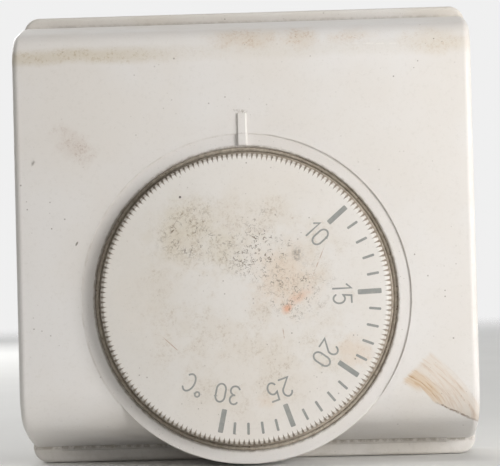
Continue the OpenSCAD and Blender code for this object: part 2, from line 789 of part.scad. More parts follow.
module diaphragm() rotate_extrude() {
    steps = 44;
    rs = [for (i = [0 : steps]) capsule_r * i / steps];
    polygon(concat([for (r = rs) [r, sheet_height(r)]],
        [for (i = [steps : -1 : 0]) [rs[i], sheet_height(rs[i]) + sheet_t]]));
}

module capsule_front() color("#c8a35a") place() at(0, axis_y, rim_plane) diaphragm();

module capsule_back() color("#c8a35a") place() at(0, axis_y, rim_plane) mirror([0, 0, 1]) diaphragm();

module capsule_stud() color("#cfae55") place() at(0, axis_y, stud_z) difference() {
    rod(0, 0, 0, stud_h, stud_r);
    rod(0, 0, stud_h - stud_bore, stud_h + 1, nose_r + run_gap);
}

module capsule_button() color("#cfae55") place() at(0, axis_y, capsule_low) rotate_extrude()
    polygon([[0, 0], [button_r, 0], [button_r, -button_h + 0.7], [button_r - 0.5, -button_h + 0.2],
        [button_r - 1.2, -button_h], [0, -button_h]]);

// ---------------------------------------------------------------- lever

module operating_lever() color("#aab0b3") place() difference() {
    union() {
        at(0, 0, lever_under) linear_extrude(lever_t) polygon([
            [-lever_w / 2, pin_y + pin_r + 0.5], [lever_w / 2, pin_y + pin_r + 0.5],
            [lever_w / 2, axis_y + 6], [lever_tail_w / 2, 2], [lever_tail_w / 2, switch_y + 1.4],
            [lever_tail_w / 2 - 1.4, switch_y + 2.8], [-lever_tail_w / 2 + 1.4, switch_y + 2.8],
            [-lever_tail_w / 2, switch_y + 1.4], [-lever_tail_w / 2, 2], [-lever_w / 2, axis_y + 6]]);
        for (s = [-1, 1]) at(s > 0 ? lever_w / 2 - ear_t : -lever_w / 2, pin_y, 0) {
            translate([0, 0, pin_z]) rotate([0, 90, 0]) cylinder(r = ear_r, h = ear_t);
            block([0, 0, pin_z - ear_r], [ear_t, ear_r, lever_top]);
            block([0, ear_r - eps, lever_under - 1], [ear_t, 12, lever_top]);
        }
    }
    translate([0, pin_y, pin_z]) rotate([0, 90, 0])
        cylinder(r = pin_r + run_gap, h = reach, center = true);
    rod(0, switch_y, 0, reach, calib_r + run_gap);
    // a locating dimple's through hole, over the return spring
    rod(0, spring_y, 0, reach, 1);
}

module lever_pin() color("#b8b8b4") place() translate([0, pin_y, pin_z]) rotate([0, 90, 0])
    cylinder(r = pin_r, h = 2 * (post_x + post_t + 0.4), center = true);

module calibration_screw() color("#b8b8b4") place() at(0, switch_y, 0) difference() {
    union() {
        at(0, 0, tip_z + calib_r) sphere(r = calib_r);
        rod(0, 0, tip_z + calib_r, lever_top + 1.2, calib_r);
        rod(0, 0, lever_top + touch_gap, lever_top + 1.4, 1.9);
    }
    block([-reach, -0.25, lever_top + 0.8], [reach, 0.25, reach]);
}

// A closed tube swept along a list of points
module tube(points, r, sides) {
    n = len(points);
    ring = [for (i = [0 : n - 1])
        let (d = points[min(i + 1, n - 1)] - points[max(i - 1, 0)],
            t = d / norm(d),
            u0 = cross([0, 0, 1], t),
            u = u0 / norm(u0),
            v = cross(t, u))
        for (k = [0 : sides - 1]) points[i] + r * (cos(k * 360 / sides) * u + sin(k * 360 / sides) * v)];
    faces = concat(
        [[for (k = [0 : sides - 1]) k]],
        [for (i = [0 : n - 2], k = [0 : sides - 1]) let (a = i * sides, b = (k + 1) % sides)
            [a + k, a + sides + k, a + sides + b, a + b]],
        [[for (k = [sides - 1 : -1 : 0]) (n - 1) * sides + k]]);
    polyhedron(ring, faces, convexity = 10);
}

function spring_climb(turn) =
    max(0, min(1, (turn - spring_dead) / (spring_turns - 2 * spring_dead)));

module return_spring() color("#9fa4a6") place() {
    z0 = floor_t + spring_wire + touch_gap;
    z1 = lever_under - spring_wire - touch_gap - spring_slope;
    tube([for (i = [0 : spring_steps * spring_turns]) let (turn = i / spring_steps)
        [spring_r * cos(turn * 360), spring_y + spring_r * sin(turn * 360),
            z0 + (z1 - z0) * spring_climb(turn) + spring_slope * turn / spring_turns]],
        spring_wire, 8);
}

// ---------------------------------------------------------------- snap switch

module switch_case() color("#3a3a3c") place() difference() {
    union() {
        block([switch_x0, switch_y - switch_w / 2, floor_t], [switch_x1, switch_y + switch_w / 2, lid_z]);
        for (i = [0, 1]) let (p = switch_ears[i]) {
            rod(p[0], p[1], ear_base, ear_base + ear_h, switch_ear_r);
            x = i == 0 ? switch_x0 : switch_x1;
            block([min(x, p[0]), p[1] - switch_ear_r, ear_base],
                [max(x, p[0]), p[1] + switch_ear_r, ear_base + ear_h]);
        }
    }
    difference() {
        block([switch_x0 + switch_wall, switch_y - switch_w / 2 + switch_wall, floor_t + switch_wall],
            [switch_x1 - switch_wall, switch_y + switch_w / 2 - switch_wall, lid_z + 1]);
        // the rest that holds the blade's contact while the heating is off
        rod(contact_x, switch_y, 0, stop_z, contact_r + 0.2);
    }
    for (p = switch_ears) rod(p[0], p[1], 0, reach, small_screw_r + 0.15);
    // where the common strip and the fixed contact's carrier pass through the ends
    block([switch_x0 - 1, switch_y - strip_w / 2 - run_gap, floor_t + switch_wall],
        [switch_x0 + 2, switch_y + strip_w / 2 + run_gap, floor_t + switch_wall + strip_t + touch_gap]);
    block([switch_x1 - 2, switch_y - strip_w / 2 - run_gap, carrier_z - touch_gap],
        [switch_x1 + 1, switch_y + strip_w / 2 + run_gap, lid_z + 1]);
}

module switch_lid() color("#4a4a4c") place() difference() {
    block([switch_x0, switch_y - switch_w / 2, lid_z], [switch_x1, switch_y + switch_w / 2, lid_z + lid_t]);
    rod(0, switch_y, 0, reach, plunger_r + run_gap);
    for (sx = [0, 1], sy = [-1, 1]) rod(sx == 0 ? switch_x0 + 1 : switch_x1 - 1,
        switch_y + sy * (switch_w / 2 - 1), lid_z + lid_t / 2, reach, 0.5);
}

module switch_plunger() color("#b5432f") place() at(0, switch_y, 0) {
    tip = 0.8;
    low = blade_z + blade_t + touch_gap;
    at(0, 0, low + tip) sphere(r = tip);
    rod(0, 0, low + tip, low + 2, tip);
    rod(0, 0, low + 1.6, low + 2.1, 2);
    rod(0, 0, low + 1.7, plunger_top, plunger_r);
}

module switch_blade() color("#c98f4e") place() difference() {
    block([blade_x - 1.4, switch_y - blade_w / 2, blade_z],
        [blade_end, switch_y + blade_w / 2, blade_z + blade_t]);
    rod(blade_x, switch_y, 0, reach, rivet_r + 0.3);
    rod(contact_x, switch_y, 0, reach, 0.6 + run_gap);
    // the window that makes the tongue of a snap blade
    for (s = [-1, 1]) block([-7, switch_y + s * 1.1 - 0.25, 0], [-1.8, switch_y + s * 1.1 + 0.25, reach]);
}

module moving_contact() color("#d8d8da") place() at(contact_x, switch_y, 0) {
    rod(0, 0, blade_z - contact_t, blade_z, contact_r);
    rod(0, 0, blade_z - 0.1, blade_z + blade_t + 0.1, 0.6);
    rod(0, 0, blade_z + blade_t, blade_z + blade_t + contact_t, contact_r);
}

module fixed_contact() color("#c9a94e") place() {
    block([contact_x - carrier_in, switch_y - strip_w / 2, carrier_z],
        [switch_x1 + carrier_out, switch_y + strip_w / 2, carrier_z + carrier_t]);
    rod(contact_x, switch_y, made_z + 0.08, carrier_z + 0.1, contact_r);
}

module switch_screws() color("#b8b8b4") place() for (p = switch_ears)
    pan_screw(p[0], p[1], switch_tip_z, ear_base + ear_h, small_screw_r);

// ---------------------------------------------------------------- terminals

module terminal_block() color("#4b4d50") place() difference() {
    union() {
        block([-block_w / 2, block_y0, floor_t], [block_w / 2, block_y1, floor_t + block_h]);
        for (s = [-1, 1]) {
            mirror([s > 0 ? 0 : 1, 0, 0])
                block([block_w / 2 - bite, block_y0 + (block_d - block_ear_w) / 2, floor_t],
                    [block_peg_x + block_ear_out, block_y0 + (block_d + block_ear_w) / 2,
                        floor_t + block_ear_h]);
        }
    }
    for (i = [1 : ways]) {
        block([way_x(i) - clamp_w / 2 - 0.2, block_y0 - 1, clamp_z],
            [way_x(i) + clamp_w / 2 + 0.2, clamp_y + clamp_d / 2 + 0.2, reach]);
    }
    for (s = [-1, 1]) rod(s * block_peg_x, block_y0 + block_d / 2, 0, reach, peg_r + run_gap);
}

module terminal_clamp(i) color("#c9a94e") place() difference() {
    block([way_x(i) - clamp_w / 2, clamp_y - clamp_d / 2, clamp_z],
        [way_x(i) + clamp_w / 2, clamp_y + clamp_d / 2, clamp_z + clamp_h]);
    block([way_x(i) - mouth_w / 2, -reach, mouth_z], [way_x(i) + mouth_w / 2, reach, mouth_z + mouth_h]);
    rod(way_x(i), clamp_y, mouth_z + 1, reach, term_screw_r + run_gap);
}

module terminal_clamp_1() terminal_clamp(1);
module terminal_clamp_2() terminal_clamp(2);
module terminal_clamp_3() terminal_clamp(3);
module terminal_clamp_4() terminal_clamp(4);

module terminal_screws() color("#b8b8b4") place() for (i = [1 : ways])
    pan_screw(way_x(i), clamp_y, term_tip, clamp_z + clamp_h + mould_gap, term_screw_r);

// The strip from the switch's common side to the first terminal, with the blade's rivet
module link_common() color("#b9783c") place() {
    x = way_x(1);
    low = floor_t + switch_wall;
    block([x - strip_w / 2, switch_y - strip_w / 2, tongue_z],
        [x + strip_w / 2, clamp_y + 2, tongue_z + strip_t]);
    block([x - strip_w / 2, switch_y - strip_w / 2, tongue_z],
        [switch_x0 - 0.4, switch_y + strip_w / 2, tongue_z + strip_t]);
    block([switch_x0 - 0.4 - strip_t, switch_y - strip_w / 2, low],
        [switch_x0 - 0.4, switch_y + strip_w / 2, tongue_z + strip_t]);
    block([switch_x0 - 0.4 - strip_t, switch_y - strip_w / 2, low],
        [blade_x + 1.5, switch_y + strip_w / 2, low + strip_t]);
    rod(blade_x, switch_y, low, blade_z - 0.15, rivet_r + 0.4);
    rod(blade_x, switch_y, low, blade_z + 1.2, rivet_r);
    rod(blade_x, switch_y, blade_z + 0.9, blade_z + 1.2, rivet_r + 0.6);
}

// The strip from the switch's fixed contact round the cable entry to the third terminal
module link_heat() color("#b9783c") place() {
    z = carrier_z + carrier_t;
    x0 = switch_x1 + link_gap;
    x1 = entry_w / 2 + link_gap + strip_w;
    y0 = switch_y - strip_w / 2;
    y1 = block_y0 - 0.6;
    x = way_x(3);
    block([x0, y0, z], [x1, switch_y + strip_w / 2, z + strip_t]);
    block([x1 - strip_w, y0, z], [x1, y1, z + strip_t]);
    block([x - strip_w / 2, y1 - 2, z], [x1, y1, z + strip_t]);
    block([x - strip_w / 2, y1 - strip_t, tongue_z], [x + strip_w / 2, y1, z + strip_t]);
    block([x - strip_w / 2, y1 - strip_t, tongue_z], [x + strip_w / 2, clamp_y + 2, tongue_z + strip_t]);
}

// ---------------------------------------------------------------- anticipator

module anticipator() color("#7a5a3a") place() translate([heater_x0, heater_y, heater_z])
    rotate([0, 90, 0]) {
        len = heater_x1 - heater_x0;
        difference() {
            cylinder(r = heater_r, h = len);
            translate([0, 0, len / 2]) rotate_extrude() difference() {
                translate([heater_r - 0.15, -len / 2 + 1.5]) square([1, len - 3]);
            }
            translate([0, 0, -1]) cylinder(r = lead_r + run_gap, h = len + 2);
        }
    }

// A round wire through the given points
module wire(points, r) {
    for (i = [0 : len(points) - 2]) {
        d = points[i + 1] - points[i];
        translate(points[i]) rotate([0, acos(d[2] / norm(d)), atan2(d[1], d[0])])
            cylinder(r = r, h = norm(d));
    }
    for (i = [1 : len(points) - 2]) translate(points[i]) sphere(r = r);
}

module anticipator_leads() color("#c0c2c4") place() wire([
    [switch_x1 + 1.8, switch_y - 1, heater_z], [switch_x1 + 1.8, heater_y, heater_z],
    [lead_x, heater_y, heater_z], [lead_x, block_y0 - 3, heater_z],
    [way_x(4), block_y0 - 3, heater_z], [way_x(4), clamp_y - 2, heater_z]], lead_r);

// ---------------------------------------------------------------- pieces

wall_plate();
front_cover();
dial();
range_pins();
hub_clip();
cover_screw();
frame_bridge();
bridge_screws();
spindle_bush();
bush_nut();
setting_spindle();
capsule_front();
capsule_stud();
capsule_back();
capsule_button();
operating_lever();
lever_pin();
return_spring();
calibration_screw();
switch_case();
switch_lid();
switch_plunger();
switch_blade();
moving_contact();
fixed_contact();
switch_screws();
terminal_block();
terminal_clamp_1();
terminal_clamp_2();
terminal_clamp_3();
terminal_clamp_4();
terminal_screws();
link_common();
link_heat();
anticipator();
anticipator_leads();
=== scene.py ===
import bpy
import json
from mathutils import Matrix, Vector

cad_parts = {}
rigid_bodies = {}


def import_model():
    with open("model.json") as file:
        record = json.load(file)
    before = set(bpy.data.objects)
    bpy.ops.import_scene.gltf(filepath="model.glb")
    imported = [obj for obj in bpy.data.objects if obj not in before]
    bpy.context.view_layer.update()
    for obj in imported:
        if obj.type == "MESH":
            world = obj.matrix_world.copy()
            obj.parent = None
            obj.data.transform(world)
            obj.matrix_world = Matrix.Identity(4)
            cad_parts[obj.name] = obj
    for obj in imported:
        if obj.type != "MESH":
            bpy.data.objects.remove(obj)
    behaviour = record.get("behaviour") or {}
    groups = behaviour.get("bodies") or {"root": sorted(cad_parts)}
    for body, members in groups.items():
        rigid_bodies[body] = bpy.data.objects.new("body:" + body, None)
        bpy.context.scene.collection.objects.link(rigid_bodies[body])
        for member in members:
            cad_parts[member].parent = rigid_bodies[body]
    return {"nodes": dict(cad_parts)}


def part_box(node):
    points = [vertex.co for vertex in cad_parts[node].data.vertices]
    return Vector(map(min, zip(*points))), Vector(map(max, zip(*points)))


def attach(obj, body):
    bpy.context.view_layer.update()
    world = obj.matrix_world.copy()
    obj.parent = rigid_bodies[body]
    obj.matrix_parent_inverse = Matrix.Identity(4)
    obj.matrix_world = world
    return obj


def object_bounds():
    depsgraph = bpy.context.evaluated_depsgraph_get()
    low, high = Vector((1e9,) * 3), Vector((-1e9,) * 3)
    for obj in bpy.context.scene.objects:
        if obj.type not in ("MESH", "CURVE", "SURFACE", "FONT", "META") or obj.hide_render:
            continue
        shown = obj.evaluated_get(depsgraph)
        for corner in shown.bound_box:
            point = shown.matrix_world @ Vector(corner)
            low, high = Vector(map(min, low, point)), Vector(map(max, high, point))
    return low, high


for stray in list(bpy.data.objects):
    bpy.data.objects.remove(stray)
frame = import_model()
cad_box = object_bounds()

import json
import math

from mathutils import Matrix, Vector, noise

# A square room thermostat: moulded cover and wall plate, a printed setting dial, and the works.
# Materials are drawn in millimetres, in the frame of the object: x across, z up, -y out of the wall.

NODES = frame["nodes"]
MM = 0.001

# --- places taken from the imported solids, in millimetres ---
dial_low, dial_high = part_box("dial")
cover_low, cover_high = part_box("front_cover")
plate_low, plate_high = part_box("wall_plate")
AXIS_Z = (dial_low.z + dial_high.z) / 2 / MM    # height of the dial's axis
FOOT_R = (dial_high.x - dial_low.x) / 2 / MM     # the plain foot below the dial's teeth
DIAL_R = FOOT_R - 0.75                          # tips of the dial's teeth
DIAL_FRONT = dial_low.y / MM                    # the dial's printed face
TOOTH_STEP = 2.0                                # degrees from one notch of the dial's edge to the next
WELL_R = FOOT_R + 0.45                          # the round well that the dial turns in
COLLAR_R = WELL_R + 2.45                        # the step round the well's flat ring
COVER_FRONT = cover_low.y / MM                  # the cover's highest point, on the index bar
COLLAR_FRONT = DIAL_FRONT + 3.3                 # the flat ring round the dial
COVER_TOP = cover_high.z / MM                   # the cover's edges on the wall plate
COVER_LOW = plate_low.z / MM + 3.0
TIDE_Z = 33.2                                   # the tide line along the cover's upper roll


# ------------------------------------------------------------------ node materials


def rgb(r, g, b):
    """A colour given as 0 to 255 on a screen, as a linear colour with alpha."""
    linear = [v / 255 / 12.92 if v <= 10 else ((v / 255 + 0.055) / 1.055) ** 2.4 for v in (r, g, b)]
    return (*linear, 1.0)


class Paint:
    """Builds one node material. Every method returns the socket that carries its result."""

    def __init__(self, name):
        self.mat = bpy.data.materials.new(name)
        self.mat.use_nodes = True
        self.nodes = self.mat.node_tree.nodes
        self.links = self.mat.node_tree.links
        self.surface = self.nodes["Principled BSDF"]
        coord = self.nodes.new("ShaderNodeTexCoord")
        self.mm = self.vector("SCALE", coord.outputs["Object"], scale=1 / MM)
        self.x, self.y, self.z = self.add("ShaderNodeSeparateXYZ", self.mm).outputs
        facing = self.add("ShaderNodeSeparateXYZ", coord.outputs["Normal"])
        self.ny = facing.outputs["Y"]

    def put(self, socket, value):
        if isinstance(value, bpy.types.NodeSocket):
            self.links.new(value, socket)
        elif value is not None:
            socket.default_value = value

    def add(self, kind, *values, **settings):
        node = self.nodes.new(kind)
        for key, value in settings.items():
            setattr(node, key, value)
        for socket, value in zip(node.inputs, values):
            self.put(socket, value)
        return node

    def math(self, operation, a, b=None, c=None):
        return self.add("ShaderNodeMath", a, b, c, operation=operation).outputs[0]

    def apart(self, a, b):
        """How far two values lie from each other."""
        return self.math("ABSOLUTE", self.math("SUBTRACT", a, b))

    def vector(self, operation, a, b=None, scale=None):
        node = self.add("ShaderNodeVectorMath", a, b, operation=operation)
        if scale is not None:
            node.inputs["Scale"].default_value = scale
        return node.outputs[0]

    def join(self, x, y, z):
        return self.add("ShaderNodeCombineXYZ", x, y, z).outputs[0]

    def step(self, value, low, high, to_low=0.0, to_high=1.0):
        """Rises smoothly from to_low to to_high as value goes from low to high."""
        node = self.add("ShaderNodeMapRange", interpolation_type="SMOOTHSTEP")
        names = ("Value", "From Min", "From Max", "To Min", "To Max")
        for key, v in zip(names, (value, low, high, to_low, to_high)):
            self.put(node.inputs[key], v)
        return node.outputs["Result"]

    def noise(self, scale, detail=2.0, rough=0.5, at=None, shift=0.0, warp=0.0):
        """Soft noise from 0 to 1. scale is in repeats per millimetre."""
        at = self.mm if at is None else at
        if shift:
            at = self.vector("ADD", at, (shift, shift * 0.7, -shift * 1.3))
        node = self.add("ShaderNodeTexNoise")
        names = ("Vector", "Scale", "Detail", "Roughness", "Distortion")
        for key, v in zip(names, (at, scale, detail, rough, warp)):
            self.put(node.inputs[key], v)
        return node.outputs["Fac"]

    def cells(self, scale, shift=0.0):
        """A Voronoi node: its Distance and Color outputs are both of use."""
        at = self.mm
        if shift:
            at = self.vector("ADD", at, (shift, shift * 0.6, shift * 1.7))
        node = self.add("ShaderNodeTexVoronoi")
        self.put(node.inputs["Vector"], at)
        self.put(node.inputs["Scale"], scale)
        return node

    def mix(self, factor, a, b):
        node = self.add("ShaderNodeMix", data_type="RGBA", clamp_factor=True)
        self.put(node.inputs[0], factor)
        self.put(node.inputs[6], a)
        self.put(node.inputs[7], b)
        return node.outputs[2]

    def product(self, *values):
        out = values[0]
        for v in values[1:]:
            out = self.math("MULTIPLY", out, v)
        return out

    def most(self, *values):
        out = values[0]
        for v in values[1:]:
            out = self.math("MAXIMUM", out, v)
        return out

    def far(self, x, z, wide, high, turn=0.0):
        """Distance from a point on the front, counted in radii of an ellipse turned by some degrees."""
        u, v = self.math("SUBTRACT", self.x, x), self.math("SUBTRACT", self.z, z)
        c, s = math.cos(math.radians(turn)), math.sin(math.radians(turn))
        p = self.math("ADD", self.math("MULTIPLY", u, c / wide), self.math("MULTIPLY", v, s / wide))
        q = self.math("ADD", self.math("MULTIPLY", u, -s / high), self.math("MULTIPLY", v, c / high))
        return self.math("SQRT", self.math("ADD", self.math("MULTIPLY", p, p), self.math("MULTIPLY", q, q)))

    def blot(self, x, z, wide, high, turn=0.0, ragged=0.8, grain=0.35, soft=0.7, shift=0.0):
        """A stain: 1 in its middle, 0 outside, with a ragged edge."""
        edge = self.math("MULTIPLY_ADD", self.noise(grain, 4, 0.6, shift=shift + 3.1), ragged, -ragged / 2)
        return self.step(self.math("ADD", self.far(x, z, wide, high, turn), edge), 1.0, 1.0 - soft)

    def specks(self, pitch, size, share, shift=0.0):
        """Small separate spots. pitch is the distance between cells, and share how many of them hold one."""
        cell = self.cells(1 / pitch, shift=shift)
        pick = self.add("ShaderNodeSeparateColor", cell.outputs["Color"])
        near = self.math("MULTIPLY", pick.outputs["Green"], size / pitch)
        spot = self.step(cell.outputs["Distance"], near, self.math("MULTIPLY", near, 0.4))
        return self.product(spot, self.math("LESS_THAN", pick.outputs["Red"], share))

    def bump(self, height, depth, strength=1.0, under=None):
        """depth is the height's full range in millimetres."""
        node = self.add("ShaderNodeBump")
        node.inputs["Strength"].default_value = strength
        node.inputs["Distance"].default_value = depth * MM
        self.put(node.inputs["Height"], height)
        self.put(node.inputs["Normal"], under)
        return node.outputs["Normal"]

    def finish(self, colour, rough, normal=None, **fixed):
        self.put(self.surface.inputs["Base Color"], colour)
        self.put(self.surface.inputs["Roughness"], rough)
        self.put(self.surface.inputs["Normal"], normal)
        for key, value in fixed.items():
            self.surface.inputs[key.replace("_", " ")].default_value = value
        return self.mat


def moulded(p, light, deep):
    """The ground shared by the pale mouldings: faint clouds of yellowing, and fine pores."""
    cloud = p.noise(0.045, 3, 0.55)
    tone = p.mix(p.step(cloud, 0.3, 0.7), light, deep)
    fine = p.noise(1.6, 5, 0.7, shift=11)
    tone = p.mix(p.step(fine, 0.50, 0.80, 0, 0.22), tone, rgb(190, 184, 174))
    pits = p.specks(0.42, 0.09, 0.22, 60)
    return p.mix(p.product(pits, 0.35), tone, rgb(140, 134, 126))


def bloom(p, tone, mask, wash, grain, shift, soft=0.45, rough=0.6, crumbs=0.7):
    """A powdery stain inside the mask: a thin wash, fine grains on it, and a few darker crumbs."""
    powder = p.step(p.noise(1.9, 6, 0.78, shift=shift), 0.47, 0.64)
    clump = p.step(p.noise(0.42, 4, 0.65, shift=shift + 2), 0.36, 0.60)
    tone = p.mix(p.product(mask, soft), tone, rgb(*wash))
    tone = p.mix(p.product(mask, powder, clump, rough), tone, rgb(*grain))
    crumb = p.product(p.specks(0.5, 0.12, 0.34, shift + 4), mask, clump)
    return p.mix(p.product(crumb, crumbs), tone, rgb(*[v * 0.6 for v in grain]))


def dust(p, tone, share=0.10, shift=0.0, colour=(118, 104, 88)):
    """Scattered specks in two sizes, thicker in some places than others."""
    thick = p.step(p.noise(0.09, 3, 0.6, shift=shift + 5), 0.42, 0.68)
    small = p.product(p.specks(0.75, 0.2, share * 1.6, shift), thick)
    large = p.product(p.specks(2.6, 0.24, share, shift + 7), 0.8)
    return p.mix(p.product(p.most(small, large), 0.75), tone, rgb(*colour))


def axis_distance(p):
    """Distance from the dial's axis."""
    v = p.math("SUBTRACT", p.z, AXIS_Z)
    return p.math("SQRT", p.math("ADD", p.math("MULTIPLY", p.x, p.x), p.math("MULTIPLY", v, v)))


def pores(p, depth=0.012):
    """Fine grain of a moulded face with a slow swell under it."""
    swell = p.bump(p.noise(0.12, 2, 0.5, shift=2), 0.05, 0.5)
    return p.bump(p.noise(5.5, 4, 0.6), depth, 0.6, swell)


def cover_material():
    p = Paint("aged_cover")
    tone = moulded(p, rgb(230, 227, 224), rgb(227, 222, 216))
    r = axis_distance(p)

    # a yellow-brown tide line along the upper roll, strongest at the left, and patches further right
    front = p.step(p.ny, 0.3, -0.1)
    wave = p.math("MULTIPLY_ADD", p.noise(0.10, 3, 0.6), 1.8, -0.9)
    line = p.apart(p.math("ADD", p.z, wave), TIDE_Z)
    left = p.product(p.step(line, 2.1, 0.3), p.step(p.x, -8, -24, 0.22, 1.0))
    middle = p.most(p.blot(1.0, 35.6, 9.5, 2.6, 0, 1.1, 0.3, 0.9, 4),
                    p.blot(11.0, 35.4, 4.6, 2.8, 0, 1.1, 0.4, 0.9, 5),
                    p.product(p.blot(20.5, 35.6, 6.5, 1.8, 4, 1.1, 0.4, 0.9, 6), 0.6))
    right = p.product(p.blot(35.5, 34.4, 8.5, 3.6, -6, 1.1, 0.3, 0.9, 8), 0.8)
    tone = bloom(p, tone, p.product(left, front), (198, 184, 156), (176, 156, 118), 21)
    tone = bloom(p, tone, p.product(middle, front), (214, 196, 172), (182, 146, 108), 31, 0.42, 0.6, 0.85)
    tone = bloom(p, tone, p.product(right, front), (216, 202, 180), (184, 156, 120), 41, 0.36, 0.5, 0.7)
    stain = p.most(left, middle, right)
    scuff = p.product(p.step(p.far(25.0, 33.9, 6.6, 0.26, -2), 1.0, 0.3),
                      p.step(p.noise(0.9, 3, 0.6), 0.4, 0.55))
    tone = p.mix(p.product(scuff, front, 0.5), tone, rgb(240, 236, 230))

    # hand marks: a brown smudge at the left, and small dark crumbs about it
    smudge = p.blot(-30.6, 16.6, 6.2, 3.4, -40, ragged=1.3, grain=0.5, soft=1.0, shift=13)
    tone = bloom(p, tone, p.product(smudge, front, 0.7), (200, 184, 172), (160, 132, 114), 51, 0.5, 0.8)

    # a fan of dried brush strokes in the lower right corner: they run down to the right, bend more
    # the nearer they lie to its lower edge, and end on a line of crumbs
    along = p.math("MULTIPLY", p.math("SUBTRACT", p.x, p.z), math.sqrt(0.5))
    across = p.math("MULTIPLY", p.math("ADD", p.x, p.z), math.sqrt(0.5))
    past = p.math("SUBTRACT", along, 43.4)
    bend = p.math("MULTIPLY", p.step(across, -1, 6, 0.05, 0.012), p.math("MULTIPLY", past, past))
    stroke = p.math("ADD", across, bend)
    hair_place = p.join(p.math("MULTIPLY", stroke, 1.9), p.math("MULTIPLY", along, 0.14), 2.0)
    hairs = p.noise(1.0, 4, 0.7, at=hair_place)
    end_place = p.join(p.math("MULTIPLY", stroke, 1.6), 5.0, 1.0)
    ends = p.math("MULTIPLY_ADD", p.noise(1.0, 3, 0.7, at=end_place), 2.0, -1.0)
    sill = p.math("ADD", p.math("ADD", p.z, 32.2), p.math("MULTIPLY", p.math("SUBTRACT", p.x, 34.3), 0.485))
    sill = p.math("ADD", sill, p.math("MULTIPLY_ADD", p.noise(0.6, 3, 0.6, shift=7), 0.9, -0.45))
    inside = p.product(p.step(p.math("ADD", along, ends), 39.0, 40.0), p.step(sill, 0.0, 0.35),
                       p.step(stroke, 0.3, 0.9), p.step(stroke, 8.2, 6.8),
                       p.most(p.step(stroke, 1.4, 1.9), p.step(along, 43.8, 41.5)))
    dense = p.product(p.step(stroke, 0.6, 1.7), p.step(stroke, 4.4, 2.9), p.step(along, 49, 43, 0.25, 1.0))
    strokes = p.product(inside, p.step(hairs, 0.45, 0.62), p.step(dense, 0, 1, 0.36, 1.0))
    streaks = p.product(inside, p.step(hairs, 0.56, 0.68), p.step(dense, 0, 1, 0.22, 1.0))
    tone = p.mix(p.product(inside, front, p.step(dense, 0, 1, 0.26, 0.75)), tone, rgb(214, 190, 160))
    tone = p.mix(p.product(strokes, front, 0.66), tone, rgb(194, 156, 114))
    tone = p.mix(p.product(streaks, front, 0.74), tone, rgb(142, 104, 68))
    grit = p.product(p.specks(0.5, 0.16, 0.22, 57), inside, front, 0.7)
    tone = p.mix(grit, tone, rgb(128, 104, 82))
    edge = p.product(p.step(p.apart(sill, 0.22), 0.30, 0.05), p.step(p.x, 33.4, 35.6),
                     p.step(p.x, 41.5, 38.0, 0.4, 1.0), p.step(p.noise(1.1, 3, 0.7, shift=4), 0.32, 0.56))
    tone = p.mix(p.product(edge, front, 0.8), tone, rgb(112, 86, 60))

    # two small dark marks at the left
    mark = p.most(p.product(p.blot(-38.4, 13.7, 0.45, 0.75, -25, 1.2, 2.2, 0.9, 3), 0.7),
                  p.product(p.step(p.far(-30.7, -1.2, 0.22, 0.55, -30), 1.0, 0.5), 0.8))
    tone = p.mix(p.product(mark, front), tone, rgb(104, 98, 84))

    tone = dust(p, tone, 0.10)

    # dirt that lies along the collar's step, round the index bar and thickly in the well
    ring = p.product(p.step(p.apart(r, COLLAR_R), 0.20, 0.04),
                     p.step(p.noise(0.35, 4, 0.6, shift=17), 0.30, 0.7))
    tip = p.product(p.step(p.far(-0.1, 22.2, 1.5, 0.55), 1.0, 0.55),
                    p.step(p.noise(1.5, 4, 0.7, shift=3), 0.42, 0.62))
    beside = p.product(p.step(p.math("ABSOLUTE", p.x), 3.4, 0.9), p.step(p.z, 23.4, 20.5),
                       p.step(p.z, 14.5, 17), p.specks(0.6, 0.17, 0.32, 71))
    lip = p.product(p.step(r, WELL_R + 0.62, WELL_R + 0.12),
                    p.step(p.noise(0.8, 4, 0.6, shift=9), 0.3, 0.75), 0.65)
    crumbs = p.product(p.specks(0.62, 0.18, 0.34, 83), p.step(r, WELL_R + 0.4, WELL_R + 0.8),
                       p.step(r, COLLAR_R - 0.1, COLLAR_R - 0.4),
                       p.most(p.step(p.far(29, AXIS_Z + 1, 3, 11), 1.0, 0.6),
                              p.step(p.noise(0.12, 2, 0.5, shift=31), 0.46, 0.6, 0, 0.7)))
    tone = p.mix(p.product(ring, 0.35), tone, rgb(168, 158, 144))
    tone = p.mix(p.product(crumbs, front, 0.7), tone, rgb(120, 106, 90))
    tone = p.mix(p.product(p.most(tip, beside), front, 0.62), tone, rgb(126, 110, 92))
    tone = p.mix(lip, tone, rgb(150, 140, 124))
    deep = p.product(p.step(r, WELL_R + 0.25, WELL_R - 0.15),
                     p.step(p.y, COVER_FRONT + 1.0, COVER_FRONT + 2.2))
    muck = p.mix(p.step(p.noise(1.3, 4, 0.65, shift=6), 0.3, 0.7),
                 rgb(150, 140, 124), rgb(188, 178, 162))
    tone = p.mix(p.product(deep, 0.9), tone, muck)

    rough = p.math("ADD", p.step(p.noise(0.3, 4, 0.6, shift=12), 0.3, 0.7, 0.40, 0.52), p.product(stain, 0.2))
    return p.finish(tone, rough, pores(p), IOR=1.48)


